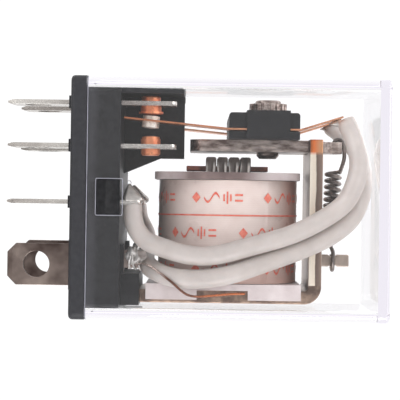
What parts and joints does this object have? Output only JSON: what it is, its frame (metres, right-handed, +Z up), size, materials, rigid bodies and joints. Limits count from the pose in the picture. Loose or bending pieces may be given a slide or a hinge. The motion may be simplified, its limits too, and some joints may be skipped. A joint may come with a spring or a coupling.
{
  "type": "plug in relay",
  "caption": "Plug-in changeover power relay: clear box cover over an exposed coil, hinged armature, contact leaves and sleeved flexible leads, with flat blades under a black base.",
  "frame": {"origin": "centre of the base's underside, on the seating plane", "axes": "+Z up through the cover, -X the contact side, +X the coil side, the poles each side of Y = 0"},
  "size_m": [0.0274, 0.0216, 0.0432],
  "materials": {
    "black_moulding": "satin moulded phenolic, near black",
    "clear_cover": "clear moulded polycarbonate",
    "tinned_brass": "tinned, dull and slightly tarnished",
    "silver_contact": "silver alloy, satin",
    "copper_contact": "copper rivet body, bright",
    "copper_leaf": "spring copper alloy, satin",
    "nickel_steel": "nickel-plated steel",
    "lamination_steel": "blued electrical sheet",
    "plated_fastener": "nickel plate",
    "bobbin_moulding": "off-white nylon",
    "magnet_wire": "enamelled copper",
    "coil_tape": "translucent white polyester tape with red printed marks",
    "spring_steel": "blackened spring wire",
    "silicone_sleeve": "off-white silicone tubing",
    "copper_braid": "fine tinned copper strands",
    "solder": "dull solder"
  },
  "bodies": {
    "frame": {"base": "black_moulding", "bobbin": "bobbin_moulding", "coil_lead_back": "magnet_wire", "coil_lead_front": "magnet_wire", "coil_solder": "solder", "coil_tape": "coil_tape", "coil_terminal_back": "tinned_brass", "coil_terminal_front": "tinned_brass", "com_solder": "solder", "com_terminal_back": "tinned_brass", "com_terminal_front": "tinned_brass", "core_laminations": "lamination_steel", "cover": "clear_cover", "lead_braid_back": "copper_braid", "lead_braid_front": "copper_braid", "lead_sleeve_back": "silicone_sleeve", "lead_sleeve_front": "silicone_sleeve", "nc_contact_back": "copper_contact", "nc_contact_front": "copper_contact", "nc_terminal_back": "tinned_brass", "nc_terminal_front": "tinned_brass", "no_contact_back": "copper_contact", "no_contact_front": "copper_contact", "no_terminal_back": "tinned_brass", "no_terminal_front": "tinned_brass", "return_spring": "spring_steel", "shading_ring": "copper_contact", "winding": "magnet_wire", "yoke": "nickel_steel"},
    "armature": {"armature": "nickel_steel", "armature_rivet": "plated_fastener", "lock_washer": "plated_fastener", "contact_carrier": "black_moulding"},
    "front_leaf": {"contact_leaf_front": "copper_leaf", "moving_contact_front": "silver_contact", "leaf_solder_front": "solder"},
    "back_leaf": {"contact_leaf_back": "copper_leaf", "moving_contact_back": "silver_contact", "leaf_solder_back": "solder"}
  },
  "joints": [
    {"name": "armature_tilt", "type": "hinge", "parent": "frame", "child": "armature", "pos_m": [-0.00553, 0, 0.027], "axis": [0, -1, 0], "range_deg": [0, 2.9], "stiffness_Nm_per_rad": 0.004, "springref_deg": -8.59, "deforming": ["return_spring"]},
    {"name": "front_leaf_flex", "type": "hinge", "parent": "armature", "child": "front_leaf", "pos_m": [-0.00797, -0.0065, 0.0178], "axis": [0, -1, 0], "range_deg": [-0.75, 0]},
    {"name": "back_leaf_flex", "type": "hinge", "parent": "armature", "child": "back_leaf", "pos_m": [-0.00797, 0.0065, 0.0178], "axis": [0, -1, 0], "range_deg": [-0.75, 0]}
  ],
  "couplings": [
    {"joint": "front_leaf_flex", "follows": "armature_tilt", "ratio": -0.245},
    {"joint": "back_leaf_flex", "follows": "armature_tilt", "ratio": -0.245}
  ]
}
